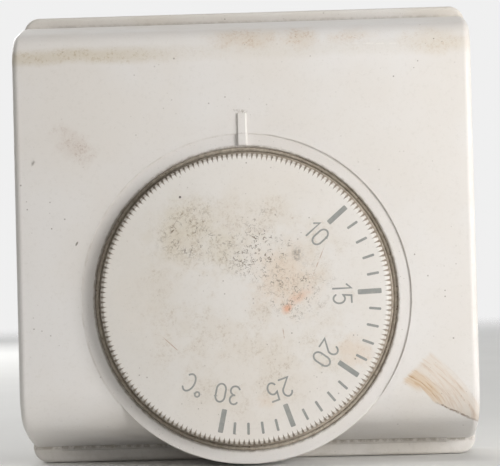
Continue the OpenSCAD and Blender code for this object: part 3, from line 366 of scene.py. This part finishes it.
def plate_material():
    p = Paint("aged_plate")
    tone = moulded(p, rgb(226, 222, 217), rgb(219, 213, 204))
    # a thin film of dirt on the ledges, and a line of grime and painted shade in the joint against the
    # cover's edge; both are painted darker on the lower ledge than on the upper one, as painted shade
    ledge = p.step(p.y, -14.2, -14.9)
    film_and_shade = p.product(ledge, p.step(p.noise(0.5, 5, 0.7, shift=5), 0.40, 0.75), p.step(p.z, 0, -40, 0.2, 0.8))
    tone = p.mix(p.product(film_and_shade, 0.26), tone, rgb(168, 158, 142))
    shut = p.most(p.step(p.apart(p.z, COVER_TOP + 0.1), 0.55, 0.1),
                  p.step(p.apart(p.z, COVER_LOW - 0.1), 0.6, 0.1))
    # grime and painted shade: the joint under the cover's edge is darkened, most of all at the lower ledge
    seam_grime_and_shade = p.product(ledge, shut, p.step(p.noise(0.9, 5, 0.7, shift=2), 0.36, 0.62))
    tone = p.mix(p.product(seam_grime_and_shade, p.step(p.z, 0, -40, 0.2, 0.55)), tone, rgb(136, 122, 102))
    back = p.step(p.y, -1.2, -0.2)
    clouds = p.step(p.noise(0.08, 4, 0.6, shift=9), 0.4, 0.7)
    tone = p.mix(p.product(back, clouds, 0.35), tone, rgb(170, 162, 148))
    tone = dust(p, tone, 0.12, 20)
    rough = p.step(p.noise(0.25, 4, 0.6, shift=14), 0.3, 0.7, 0.42, 0.56)
    return p.finish(tone, rough, pores(p), IOR=1.48)


def dial_material():
    p = Paint("aged_dial")
    tone = moulded(p, rgb(230, 226, 221), rgb(228, 222, 214))
    r = axis_distance(p)
    face = p.step(p.ny, -0.5, -0.9)

    # worn dirt: an olive cloud upper left, rust-coloured ones right and centre
    olive = p.most(p.blot(-11, 1.0, 9, 7.5, 20, 1.2, 0.30, 0.9, 2),
                   p.product(p.blot(-4, -3, 6, 6, 0, 1.3, 0.4, 0.9, 5), 0.8))
    tone = bloom(p, tone, p.product(olive, face), (208, 196, 170), (156, 134, 102), 61, 0.5, 0.9, 0.95)
    rust = p.most(p.blot(7.0, -8.5, 9, 8.5, 10, 1.2, 0.35, 0.9, 7),
                  p.product(p.blot(19, -22, 5, 4, 0, 1.3, 0.4, 0.9, 9), 0.9),
                  p.product(p.blot(3.2, -30.5, 2.4, 2.0, 0, 1.2, 0.6, 0.9, 3), 0.6))
    tone = bloom(p, tone, p.product(rust, face), (224, 204, 182), (184, 154, 124), 71, 0.55, 0.5, 0.7)
    rest = p.product(p.step(r, 25, 16), p.step(p.noise(0.16, 4, 0.65, shift=23), 0.40, 0.66), 0.55)
    tone = bloom(p, tone, p.product(rest, face), (214, 202, 184), (166, 144, 116), 81, 0.5, 0.8, 0.95)
    # one orange spot with a tail, one grey smudge, and painted shade that darkens the face towards the left,
    # laid on as a thin film
    spot = p.blot(7.5, -13.9, 1.5, 1.2, 50, 0.9, 1.2, 0.9, 1)
    tail = p.blot(9.8, -11.8, 3.4, 1.5, 30, 1.1, 0.8, 0.9, 6)
    orange = p.most(p.product(spot, 0.7), p.product(tail, 0.34))
    tone = p.mix(p.product(orange, face), tone, rgb(224, 160, 118))
    smudge = p.product(p.blot(9.5, -4.2, 2.1, 1.4, 75, 1.2, 1.6, 0.9, 4),
                       p.step(p.noise(2.4, 4, 0.7), 0.36, 0.58))
    tone = p.mix(p.product(smudge, face, 0.62), tone, rgb(122, 114, 106))
    # painted shade: the face is darkened towards the left, where less light falls, as a grey film
    film_and_shade = p.product(p.step(p.x, 6, -22), p.step(p.noise(0.1, 3, 0.6, shift=37), 0.2, 0.6, 0.5, 1.0))
    tone = p.mix(p.product(film_and_shade, face, 0.30), tone, rgb(196, 192, 184))

    # three fine scratches filled with dirt, short dark fibres, and specks in the worn middle
    for x, z, half, turn in ((13.3, -5.7, 3.7, 67), (-13.6, -20.0, 2.6, -43), (6.7, -18.3, 1.6, -83)):
        scratch = p.product(p.step(p.far(x, z, half, 0.11, turn), 1.0, 0.5),
                            p.step(p.noise(1.2, 2, 0.6), 0.38, 0.5))
        tone = p.mix(p.product(scratch, face, 0.6), tone, rgb(168, 128, 92))
    near = p.most(p.blot(2, -3, 9, 8, 0, 1.0, 0.3, 0.8, 3),
                  p.product(p.blot(9, -11, 9, 7, 0, 1.0, 0.3, 0.8, 6), 0.8),
                  p.product(p.blot(-9, 0, 9, 7, 20, 1.0, 0.3, 0.8, 8), 0.8))
    for shift, scale in ((15, 1.1), (19, 1.9), (47, 1.4)):
        crease = p.apart(p.noise(scale, 2, 0.4, shift=shift, warp=0.5), 0.5)
        cut = p.step(p.noise(0.8, 2, 0.5, shift=shift + 4), 0.53, 0.60)
        thread = p.product(p.step(crease, 0.05, 0.012), cut,
                           p.step(p.noise(0.2, 2, 0.5, shift=shift + 6), 0.42, 0.54))
        tone = p.mix(p.product(thread, near, face, 0.85), tone, rgb(108, 90, 68))
    busy = p.product(p.most(p.specks(0.75, 0.24, 0.4, 33), p.specks(0.4, 0.14, 0.4, 37)), near, 0.9)
    tone = p.mix(p.product(busy, face), tone, rgb(112, 90, 66))
    black = p.step(p.far(-11.4, 6.7, 0.26, 0.26), 1.0, 0.6)
    tone = p.mix(p.product(black, face, 0.9), tone, rgb(52, 46, 42))
    tone = dust(p, tone, 0.22, 40, (112, 96, 78))

    # grime in the notches of the teeth, smeared onto the face, and thickly on the foot below them; the foot
    # is also painted darker next to the teeth as painted shade, and faces turned back to the wall are made
    # darker
    angle = p.math("ARCTAN2", p.math("SUBTRACT", p.z, AXIS_Z), p.x)
    turn = p.math("DIVIDE", p.math("MULTIPLY", angle, 180 / math.pi), TOOTH_STEP)
    aside = p.apart(turn, p.math("ROUND", turn))
    aside = p.math("MULTIPLY", aside, math.radians(TOOTH_STEP) * DIAL_R)
    reach = p.math("MULTIPLY", p.math("SUBTRACT", r, DIAL_R - 1.2), 0.26)
    ragged = p.math("MULTIPLY_ADD", p.noise(1.1, 4, 0.7, shift=27), 0.14, -0.07)
    notch = p.step(p.math("ADD", p.math("SUBTRACT", aside, reach), ragged), 0.05, -0.04)
    flank = p.product(p.step(r, DIAL_R - 1.1, DIAL_R - 0.8), p.step(p.ny, -0.75, -0.35))
    flank = p.product(flank, p.step(r, DIAL_R, DIAL_R - 0.45, 0.6, 1.0))
    foot = p.product(p.step(r, DIAL_R - 1.6, DIAL_R - 1.2), p.step(p.y, DIAL_FRONT + 1.6, DIAL_FRONT + 3.7))
    edge = p.product(p.step(r, DIAL_R - 1.1, DIAL_R - 0.6), p.step(p.ny, -0.97, -0.85), 0.45)
    muck = p.mix(p.step(p.noise(0.9, 5, 0.7, shift=16), 0.32, 0.66),
                 rgb(158, 147, 132), rgb(194, 184, 170))
    # painted shade: the foot is darkened next to the teeth, where the dial's shadow falls in the groove
    painted_root_shade = p.product(p.step(r, DIAL_R + 0.5, DIAL_R - 0.1),
                      p.step(p.noise(0.6, 4, 0.7, shift=8), 0.3, 0.6, 0.5, 1.0))
    muck = p.mix(p.product(painted_root_shade, 0.4), muck, rgb(118, 104, 88))
    muck = p.mix(p.product(p.specks(0.8, 0.30, 0.45, 91), 0.7), muck, rgb(98, 80, 62))
    filth = p.mix(p.step(p.noise(0.5, 4, 0.7, shift=29), 0.36, 0.62), rgb(102, 84, 66), rgb(150, 134, 116))
    tone = p.mix(p.product(notch, face, 0.78), tone, filth)
    tone = p.mix(p.product(p.most(p.product(flank, 0.9), foot, edge), 0.94), tone, muck)
    under = p.step(p.ny, 0.2, 0.6)
    tone = p.mix(p.product(under, 0.3), tone, rgb(176, 166, 148))

    # light scratches that run round the face
    swirl = p.noise(1.0, 3, 0.7, at=p.join(p.math("MULTIPLY", r, 3.0), p.math("MULTIPLY", angle, 2.2), 0.0))
    scratch = p.bump(p.step(swirl, 0.62, 0.72), 0.006, 0.5, pores(p, 0.010))
    ground = p.step(p.noise(0.35, 4, 0.6, shift=12), 0.3, 0.7, 0.38, 0.50)
    rough = p.math("ADD", ground, p.product(olive, 0.12))
    return p.finish(tone, rough, scratch, IOR=1.48)


def ink_material():
    p = Paint("scale_ink")
    tone = p.mix(p.step(p.noise(0.5, 4, 0.6), 0.3, 0.7), rgb(146, 148, 145), rgb(160, 160, 155))
    # the ink has worn off in specks, and most of all on the mark for 20 and beside the 15
    bare = p.most(p.blot(18.6, -21.4, 1.5, 1.1, -30, 0.8, 0.8, 0.6, 2),
                  p.blot(16.6, -9.6, 1.6, 0.7, 0, 0.9, 0.9, 0.8, 5))
    grain = p.noise(2.6, 4, 0.7, shift=4)
    worn = p.most(p.product(p.step(grain, 0.60, 0.74), 0.35), p.product(bare, p.step(grain, 0.36, 0.56), 0.8))
    tone = p.mix(worn, tone, rgb(214, 204, 190))
    gloss = p.step(p.noise(1.2, 3, 0.6), 0.3, 0.7, 0.42, 0.55)
    return p.finish(tone, gloss, p.bump(p.noise(4, 3, 0.6), 0.006, 0.6))


def metal_material(name, light, deep, rough, stretch=(1, 1, 1), tarnish=None, spots=0.0):
    """Worn metal: a brushed or turned grain, clouds of tarnish, and its own roughness."""
    p = Paint(name)
    grain = p.noise(2.4, 4, 0.65, at=p.vector("MULTIPLY", p.mm, stretch))
    tone = p.mix(p.step(grain, 0.3, 0.7), light, deep)
    cloud = p.step(p.noise(0.35, 4, 0.6, shift=7), 0.42, 0.72)
    if tarnish:
        tone = p.mix(p.product(cloud, 0.6), tone, tarnish)
    if spots:
        tone = p.mix(p.product(p.specks(0.6, 0.2, spots), 0.8), tone, rgb(120, 84, 52))
    gloss = p.math("ADD", p.step(grain, 0.3, 0.7, rough, rough + 0.14), p.product(cloud, 0.12))
    return p.finish(tone, gloss, p.bump(grain, 0.01, 0.5), Metallic=1.0)


def resin_material(name, light, deep, rough, fleck=None):
    """Moulded works parts: a flecked ground with flow lines."""
    p = Paint(name)
    flow = p.noise(0.35, 4, 0.6, warp=0.8)
    tone = p.mix(p.step(flow, 0.35, 0.65), light, deep)
    if fleck:
        tone = p.mix(p.product(p.specks(0.55, 0.18, 0.3), 0.7), tone, fleck)
    gloss = p.step(p.noise(0.8, 3, 0.6, shift=5), 0.3, 0.7, rough, rough + 0.12)
    return p.finish(tone, gloss, p.bump(p.noise(4.0, 4, 0.6), 0.012, 0.6))


def wear(node_names, material):
    for name in node_names.split():
        holder = NODES[name]
        for place in holder.material_slots:
            place.material = material


wear("front_cover", cover_material())
wear("wall_plate", plate_material())
wear("dial", dial_material())
wear("frame_bridge operating_lever", metal_material(
    "plated_steel", rgb(176, 176, 170), rgb(150, 149, 142), 0.34, (0.25, 1, 3), rgb(132, 124, 104), 0.10))
wear("cover_screw bridge_screws switch_screws terminal_screws calibration_screw range_pins "
     "lever_pin", metal_material(
         "zinc_steel", rgb(190, 190, 186), rgb(160, 160, 156), 0.28, (1, 1, 1), rgb(140, 132, 112), 0.06))
wear("hub_clip return_spring", metal_material(
    "spring_steel", rgb(132, 132, 134), rgb(98, 98, 100), 0.30, (1, 1, 1), rgb(92, 80, 66)))
wear("spindle_bush bush_nut setting_spindle capsule_stud capsule_button terminal_clamp_1 terminal_clamp_2 "
     "terminal_clamp_3 terminal_clamp_4 link_common link_heat", metal_material(
         "dull_brass", rgb(206, 172, 104), rgb(184, 146, 82), 0.26, (1, 1, 1), rgb(140, 108, 62)))
wear("capsule_front capsule_back switch_blade", metal_material(
    "pressed_bronze", rgb(206, 156, 116), rgb(180, 128, 92), 0.24, (1, 1, 1), rgb(146, 100, 72)))
wear("moving_contact fixed_contact", metal_material(
    "silver_contact", rgb(214, 212, 204), rgb(188, 186, 178), 0.22, (1, 1, 1), rgb(120, 112, 104)))
wear("anticipator_leads", metal_material(
    "tinned_wire", rgb(196, 195, 190), rgb(170, 168, 160), 0.30, (1, 1, 1), rgb(140, 134, 122)))
wear("switch_case switch_lid terminal_block", resin_material(
    "brown_phenolic", rgb(58, 40, 30), rgb(42, 29, 22), 0.34, rgb(86, 62, 44)))
wear("switch_plunger", resin_material("white_nylon", rgb(226, 223, 212), rgb(214, 209, 194), 0.36))
wear("anticipator", resin_material(
    "glazed_ceramic", rgb(206, 188, 150), rgb(190, 170, 132), 0.16, rgb(160, 134, 96)))


# ------------------------------------------------------------------ dust in the dial's running gap


def gap_dust():
    """A ring of packed dust on the wall of the well. It laps over the foot's bevel, clear of it."""
    p = Paint("packed_dust")
    tone = p.mix(p.step(p.noise(0.9, 5, 0.7, shift=6), 0.32, 0.66),
                 rgb(168, 157, 142), rgb(202, 193, 179))
    tone = p.mix(p.product(p.specks(1.1, 0.3, 0.4, 31), 0.7), tone, rgb(104, 88, 70))
    p.finish(tone, 0.9, p.bump(p.noise(3.0, 5, 0.7), 0.08, 0.8))
    inner, outer, low = FOOT_R + 0.06, WELL_R - 0.01, COLLAR_FRONT + 2.2
    steps, points, faces = 360, [], []
    for i in range(steps):
        a = 2 * math.pi * i / steps
        rough = 0.05 * noise.noise((math.cos(a) * 14, math.sin(a) * 14, 3.0)) + 0.04 * noise.noise(
            (math.cos(a) * 60, math.sin(a) * 60, 8.0))
        top = COLLAR_FRONT + 0.62 + rough
        for out, y in ((inner, low), (inner, COLLAR_FRONT + 1.12), (inner - 0.40, COLLAR_FRONT + 0.68),
                       (outer, top), (outer, low)):
            points.append((out * math.cos(a) * MM, y * MM, (AXIS_Z + out * math.sin(a)) * MM))
        for k in range(5):
            here, there = 5 * i, 5 * ((i + 1) % steps)
            faces.append((here + k, here + (k + 1) % 5, there + (k + 1) % 5, there + k))
    mesh = bpy.data.meshes.new("gap_dust")
    mesh.from_pydata(points, [], faces)
    mesh.validate()
    mesh.shade_smooth()
    mesh.materials.append(p.mat)
    ring = bpy.data.objects.new("gap_dust", mesh)
    bpy.context.scene.collection.objects.link(ring)
    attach(ring, "base")


gap_dust()


# ------------------------------------------------------------------ the printed scale

INK_R = 24.6            # outer ends of the marks
INK_LIFT = 0.012        # the ink stands this far above the dial's face
LONG_MARK, SHORT_MARK = (4.3, 0.92), (2.25, 0.46)    # length and width
NUMERAL_R, NUMERAL_HIGH = 17.5, 3.5     # middle and height of the numerals
UNIT_R, UNIT_ANGLE = 18.2, -122.5       # middle of the unit, and its direction in degrees
FIRST = 41.0            # direction of the first mark, in degrees from +x, at rest
ink = ink_material()


def flat_piece(name, shapes):
    """A thin piece of ink. Each shape is its (x, z) points in millimetres and the faces that join them."""
    points, faces = [], []
    for k, (shape, tiles) in enumerate(shapes):
        n, first = len(shape), len(points)
        for y in (DIAL_FRONT - INK_LIFT - 0.0007 * k, DIAL_FRONT + 0.004):
            points += [(x * MM, y * MM, z * MM) for x, z in shape]
        edges = {}
        for tile in tiles:
            faces.append([first + i for i in tile])
            faces.append([first + n + i for i in reversed(tile)])
            for a, b in zip(tile, tile[1:] + tile[:1]):
                edges[a, b] = True
        faces += [[first + a, first + n + a, first + n + b, first + b]
                  for a, b in edges if (b, a) not in edges]
    mesh = bpy.data.meshes.new(name)
    mesh.from_pydata(points, [], faces)
    mesh.validate()
    piece = bpy.data.objects.new(name, mesh)
    bpy.context.scene.collection.objects.link(piece)
    mesh.materials.append(ink)
    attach(piece, "dial")


def on_dial(angle, out, along):
    """The point at that distance out from the axis, moved clockwise by along."""
    c, s = math.cos(math.radians(angle)), math.sin(math.radians(angle))
    return out * c + along * s, AXIS_Z + out * s - along * c


def mark_angle(degree):
    """The scale closes up slowly towards its hot end."""
    t = degree - 10
    return FIRST - (7.83 * t - 0.00168 * t ** 3)


def bar(angle, inner, outer, width):
    """A mark with slightly rounded corners."""
    w, c = width / 2, min(0.12, width / 4)
    shape = [(inner + c, -w), (outer - c, -w), (outer, -w + c), (outer, w - c),
             (outer - c, w), (inner + c, w), (inner, w - c), (inner, -w + c)]
    return [on_dial(angle, out, along) for out, along in shape], [list(range(len(shape)))]


long_marks, short_marks = [], []
for degree in range(10, 31):
    a = mark_angle(degree)
    if degree % 5 == 0:
        long_marks.append(bar(a, INK_R - LONG_MARK[0], INK_R, LONG_MARK[1]))
    else:
        short_marks.append(bar(a, INK_R - SHORT_MARK[0], INK_R - 0.05, SHORT_MARK[1]))
flat_piece("scale_long_marks", long_marks)
flat_piece("scale_short_marks", short_marks)


# Numerals are drawn as strokes. Each is a list of strokes in a box 0.56 wide and 1 high.


def arc(cx, cy, rx, ry, start, end, steps=14):
    """Part of an ellipse, from start to end in degrees."""
    turns = [math.radians(start + (end - start) * i / steps) for i in range(steps + 1)]
    return [(cx + rx * math.cos(t), cy + ry * math.sin(t)) for t in turns]


GLYPHS = {
    "0": (0.56, [arc(0.28, 0.68, 0.24, 0.29, 0, 180) + arc(0.28, 0.32, 0.24, 0.29, 180, 360)
                 + [(0.52, 0.68)]]),
    "1": (0.34, [[(0.04, 0.74), (0.24, 0.97), (0.24, 0.03)]]),
    "2": (0.56, [arc(0.28, 0.70, 0.23, 0.27, 165, -35) + [(0.05, 0.03), (0.53, 0.03)]]),
    "3": (0.56, [arc(0.27, 0.735, 0.21, 0.235, 150, -90), arc(0.27, 0.265, 0.24, 0.235, 90, -150)]),
    "5": (0.56, [[(0.48, 0.97), (0.12, 0.97), (0.08, 0.54)] + arc(0.27, 0.33, 0.24, 0.30, 128, -145)]),
    "C": (0.62, [arc(0.33, 0.5, 0.28, 0.47, 48, 312, 22)]),
    "o": (0.34, [arc(0.16, 0.82, 0.12, 0.125, 0, 360, 16)]),
}


def ribbon(stroke, half):
    """A stroke of that half width with round ends, as points and the quads and end caps that join them."""
    line = [Vector(stroke[0])]
    for q in stroke[1:]:
        if (Vector(q) - line[-1]).length > 0.02:
            line.append(Vector(q))
    closed = (line[0] - line[-1]).length < 0.08 and len(line) > 8
    points, count = [], len(line)
    for i, q in enumerate(line):
        before = line[i - 1] if i or closed else 2 * q - line[1]
        after = line[(i + 1) % count] if i + 1 < count or closed else 2 * q - line[-2]
        a, b = (q - before).normalized(), (after - q).normalized()
        across = Vector((-(a + b).y, (a + b).x)).normalized()
        spread = half / max(0.5, across.dot(Vector((-a.y, a.x))))
        points += [q + across * spread, q - across * spread]
    tiles = [[2 * i, 2 * i + 2, 2 * i + 3, 2 * i + 1] for i in range(count - 1)]
    if closed:
        tiles.append([2 * count - 2, 0, 1, 2 * count - 1])
        return points, tiles
    for at, towards, ends in ((0, 1, (0, 1)), (count - 1, count - 2, (2 * count - 1, 2 * count - 2))):
        away = math.degrees(math.atan2(*reversed(line[at] - line[towards])))
        first = len(points)
        cap = arc(*line[at], half, half, away - 90, away + 90, 6)[1:-1]
        points += [Vector(q) for q in cap]
        tiles.append([ends[1], *reversed(range(first, len(points))), ends[0]][::-1])
    return points, tiles


def numeral(text, angle, middle, height, half=0.165):
    """The text across the direction angle, its tops outward."""
    gap = 0.16
    total = sum(GLYPHS[c][0] for c in text) + gap * (len(text) - 1)
    place, shapes = -total / 2, []
    for letter in text:
        width, strokes = GLYPHS[letter]
        for stroke in strokes:
            points, tiles = ribbon(stroke, half / height)
            shapes.append(([on_dial(angle, middle + (q.y - 0.5) * height, (q.x + place) * height)
                            for q in points], tiles))
        place += width + gap
    return shapes


for degree, shift in ((10, 0), (15, -0.6), (20, 0), (25, 0), (30, 0)):
    flat_piece(f"scale_numeral_{degree}", numeral(
        str(degree), mark_angle(degree) + shift, NUMERAL_R, NUMERAL_HIGH))
flat_piece("scale_unit", numeral("oC", UNIT_ANGLE, UNIT_R, NUMERAL_HIGH))


# ------------------------------------------------------------------ floor, light and camera

FLOOR_HALF = 3          # half the floor's width, in metres
FADE = (500, 1500)      # the floor fades out between these distances, in millimetres
floor_corners = [(x * FLOOR_HALF, y * FLOOR_HALF, 0) for x, y in ((-1, -1), (1, -1), (1, 1), (-1, 1))]
floor_mesh = bpy.data.meshes.new("floor")
floor_mesh.from_pydata(floor_corners, [], [[0, 1, 2, 3]])
floor = bpy.data.objects.new("floor", floor_mesh)
floor.location = (0, 0, cad_box[0].z - 0.0001)
bpy.context.scene.collection.objects.link(floor)
f = Paint("pale_floor")
fade = f.step(f.add("ShaderNodeVectorMath", f.mm, operation="LENGTH").outputs["Value"], *FADE)
tone = f.mix(f.step(f.noise(0.01, 3, 0.5), 0.3, 0.7), rgb(238, 238, 236), rgb(234, 234, 232))
f.finish(tone, 0.75)
clear = f.add("ShaderNodeBsdfTransparent").outputs[0]
both = f.add("ShaderNodeMixShader", fade, f.surface.outputs[0], clear)
f.links.new(both.outputs[0], f.nodes["Material Output"].inputs["Surface"])
floor_mesh.materials.append(f.mat)

world = bpy.data.worlds.new("studio")
bpy.context.scene.world = world
world.use_nodes = True
w = world.node_tree
path = w.nodes.new("ShaderNodeLightPath")
seen = w.nodes.new("ShaderNodeMath")
seen.operation = "MAXIMUM"
w.links.new(path.outputs["Is Camera Ray"], seen.inputs[0])
glossy = w.nodes.new("ShaderNodeMath")
glossy.operation = "MAXIMUM"
w.links.new(path.outputs["Is Glossy Ray"], glossy.inputs[0])
w.links.new(path.outputs["Is Transmission Ray"], glossy.inputs[1])
w.links.new(glossy.outputs[0], seen.inputs[1])
ambient = w.nodes["Background"]
ambient.inputs["Color"].default_value = (1.0, 0.985, 0.96, 1)
ambient.inputs["Strength"].default_value = 0.18
pale = w.nodes.new("ShaderNodeBackground")
pale.inputs["Color"].default_value = rgb(240, 240, 240)
pale.inputs["Strength"].default_value = 1.0
choose = w.nodes.new("ShaderNodeMixShader")
w.links.new(seen.outputs[0], choose.inputs[0])
w.links.new(ambient.outputs[0], choose.inputs[1])
w.links.new(pale.outputs[0], choose.inputs[2])
w.links.new(choose.outputs[0], w.nodes["World Output"].inputs["Surface"])


def lamp(name, place, aim, size, power, colour=(1, 1, 1)):
    data = bpy.data.lights.new(name, "AREA")
    data.shape = "DISK"
    data.size, data.energy, data.color = size, power, colour
    light = bpy.data.objects.new(name, data)
    light.location = place
    light.rotation_euler = (Vector(place) - Vector(aim)).to_track_quat("Z", "Y").to_euler()
    bpy.context.scene.collection.objects.link(light)


MIDDLE = (0, -0.03, 0)
lamp("key", (0.25, -0.240, 0.045), MIDDLE, 0.17, 0.80, (1.0, 0.99, 0.985))
lamp("fill", (0.12, -0.80, 0.02), MIDDLE, 0.30, 0.14, (1.0, 0.985, 0.96))
lamp("top", (0.05, -0.12, 0.60), MIDDLE, 0.40, 0.90, (1.0, 0.985, 0.96))
lamp("back", (-0.45, 0.75, 0.30), MIDDLE, 0.50, 4.0)

camera_data = bpy.data.cameras.new("camera")
camera_data.sensor_fit = "HORIZONTAL"
camera_data.angle = math.radians(12.5301)
camera_data.clip_start = 0.01
camera = bpy.data.objects.new("camera", camera_data)
camera.matrix_world = (
    Matrix.Translation((0.01670, -0.44733, -0.00897))
    @ Matrix.Rotation(math.radians(90), 4, "X")
    @ Matrix.Rotation(math.radians(2.17), 4, "Y")
    @ Matrix.Rotation(math.radians(1.23), 4, "X")
    @ Matrix.Rotation(math.radians(-1.47), 4, "Z"))
bpy.context.scene.collection.objects.link(camera)
bpy.context.scene.camera = camera
bpy.context.scene.view_settings.view_transform = "Standard"
